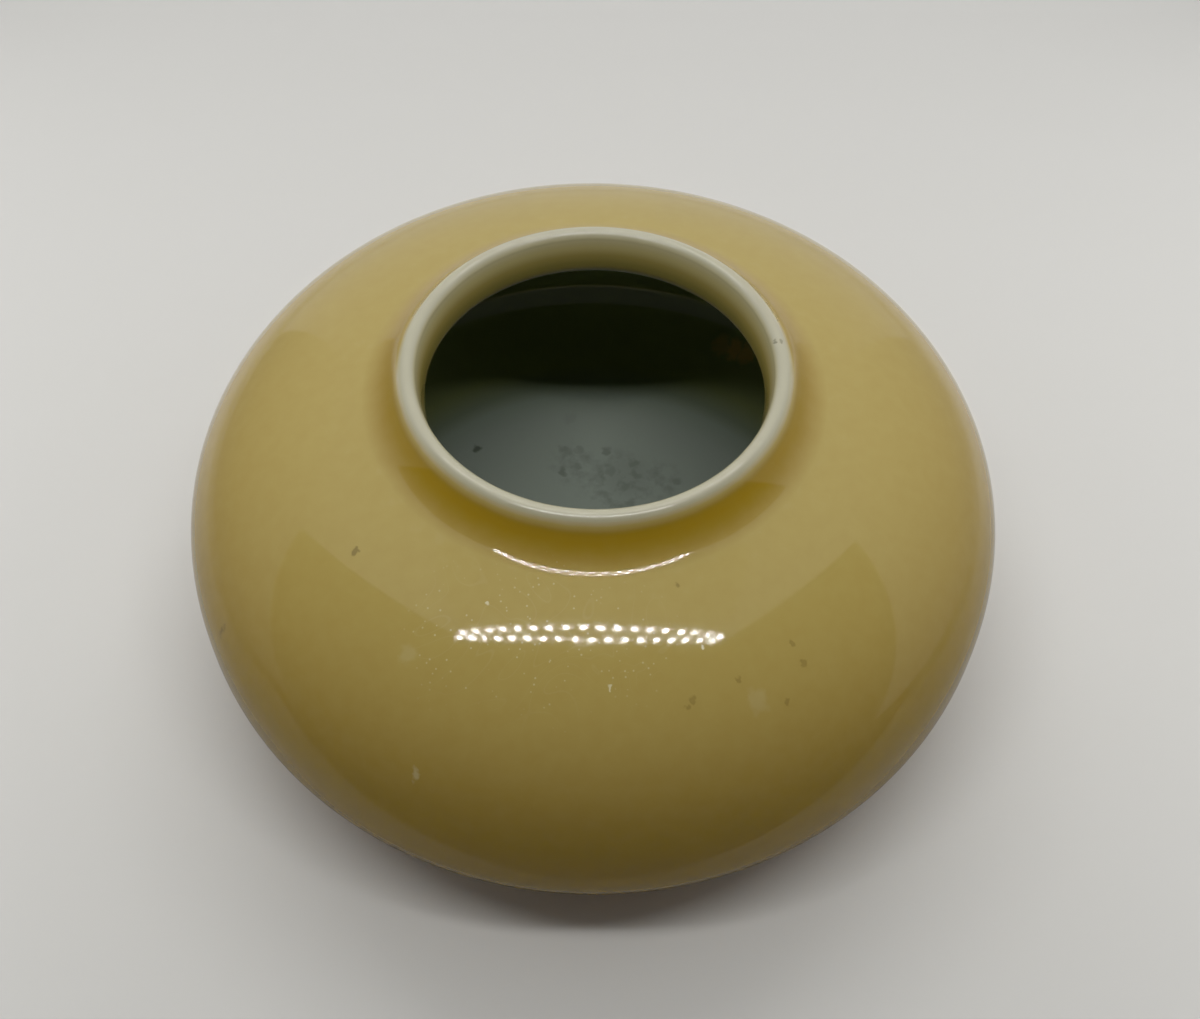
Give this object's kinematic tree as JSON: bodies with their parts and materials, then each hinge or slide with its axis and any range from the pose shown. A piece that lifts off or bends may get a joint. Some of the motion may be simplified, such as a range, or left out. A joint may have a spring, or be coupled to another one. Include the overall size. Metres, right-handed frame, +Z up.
{
  "type": "porcelain water pot",
  "caption": "Open, compressed globular water pot of glazed porcelain, with a short neck, a rounded white lip and a turned foot ring.",
  "frame": {"origin": "centre of the foot ring's underside, on the table", "axes": "+Z up along the pot's axis of revolution, out of its mouth"},
  "size_m": [0.095, 0.095, 0.0474],
  "materials": {
    "bare_porcelain": "matt, unglazed",
    "slip": "matt, unglazed",
    "yellow_glaze": "glossy transparent yellow glaze",
    "white_glaze": "glossy clear glaze over white porcelain"
  },
  "bodies": {
    "root": {"lower_body": "bare_porcelain", "luting_seam": "slip", "upper_body": "bare_porcelain", "yellow_glaze": "yellow_glaze", "white_glaze": "white_glaze", "base_glaze": "white_glaze"}
  },
  "joints": []
}
